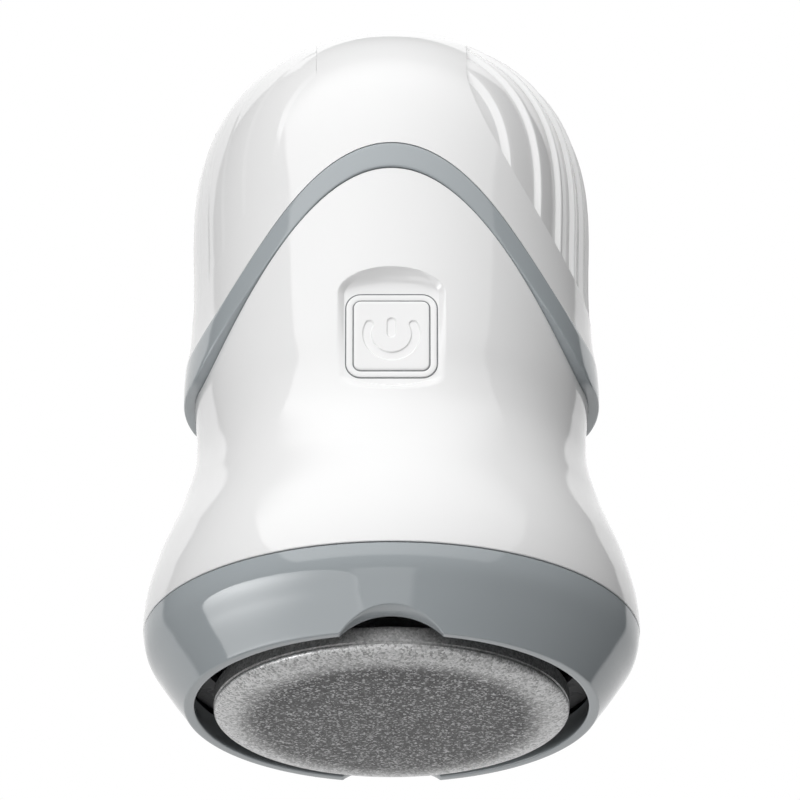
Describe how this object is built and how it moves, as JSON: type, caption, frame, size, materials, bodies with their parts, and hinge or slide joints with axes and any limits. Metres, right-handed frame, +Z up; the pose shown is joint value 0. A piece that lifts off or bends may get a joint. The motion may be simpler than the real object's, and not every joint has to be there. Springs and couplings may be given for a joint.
{
  "type": "electric callus remover",
  "caption": "Battery-driven foot file: a domed handle with ribbed grips and a push button, over a round abrasive disc in a collar.",
  "frame": {"origin": "centre of the abrasive face, which is what the object stands on", "axes": "+Z up the handle along the motor shaft, -Y towards the power button, +X to the right seen from the button"},
  "size_m": [0.0842, 0.0842, 0.1247],
  "materials": {
    "white_shell": "glossy white ABS",
    "blue_grey_trim": "glossy blue-grey ABS",
    "dark_inner": "dark moulded nylon",
    "black_inner": "black moulded ABS",
    "carrier_grey": "light grey moulded plastic",
    "abrasive": "bonded grey mineral grit with bright grains",
    "steel": "plated steel",
    "brass": "turned brass",
    "copper": "copper windings and segments",
    "magnet": "sintered ferrite",
    "aluminium": "drawn aluminium can",
    "circuit_board": "glass-epoxy board with green solder mask",
    "silicone": "soft silicone",
    "foam": "open-cell filter foam",
    "battery_sleeve": "blue shrink sleeve over a steel cell",
    "red_lead": "red insulated lead",
    "black_lead": "black insulated lead"
  },
  "bodies": {
    "housing": {"upper_cover": "white_shell", "lower_housing": "white_shell", "grip_left": "white_shell", "grip_right": "white_shell", "button_bezel": "white_shell", "trim_band": "blue_grey_trim", "head_collar": "blue_grey_trim", "guard_plate": "dark_inner", "joining_ring": "black_inner", "motor_bulkhead": "black_inner", "battery_holder": "black_inner", "motor_end_cap": "black_inner", "tactile_switch": "black_inner", "driver_chip": "black_inner", "motor_can": "steel", "charging_socket": "steel", "battery_contact_top": "steel", "battery_contact_bottom": "steel", "bulkhead_screw_1": "steel", "bulkhead_screw_2": "steel", "bulkhead_screw_3": "steel", "bulkhead_screw_4": "steel", "motor_bush_front": "brass", "motor_bush_rear": "brass", "motor_terminal_left": "brass", "motor_terminal_right": "brass", "motor_magnet_left": "magnet", "motor_magnet_right": "magnet", "smoothing_capacitor": "aluminium", "control_board": "circuit_board", "charging_board": "circuit_board", "button_membrane": "silicone", "dust_filter": "foam", "battery_cell": "battery_sleeve", "motor_lead_red": "red_lead", "battery_lead_red": "red_lead", "charging_lead_red": "red_lead", "motor_lead_black": "black_lead", "battery_lead_black": "black_lead", "charging_lead_black": "black_lead"},
    "rotor": {"motor_shaft": "steel", "motor_armature": "copper", "commutator": "copper", "drive_hub": "steel", "suction_fan": "white_shell"},
    "grinding_disc": {"disc_carrier": "carrier_grey", "abrasive_pad": "abrasive"},
    "power_button": {"power_button": "white_shell"}
  },
  "joints": [
    {"name": "motor_spin", "type": "hinge", "parent": "housing", "child": "rotor", "pos_m": [0, 0, 0.03], "axis": [0, 0, 1], "continuous": true},
    {"name": "disc_release", "type": "slide", "parent": "rotor", "child": "grinding_disc", "axis": [0, 0, -1], "range_m": [0, 0.012]},
    {"name": "button_press", "type": "slide", "parent": "housing", "child": "power_button", "axis": [0, 1, 0], "range_m": [0, 0.0005], "stiffness_N_per_m": 400}
  ]
}
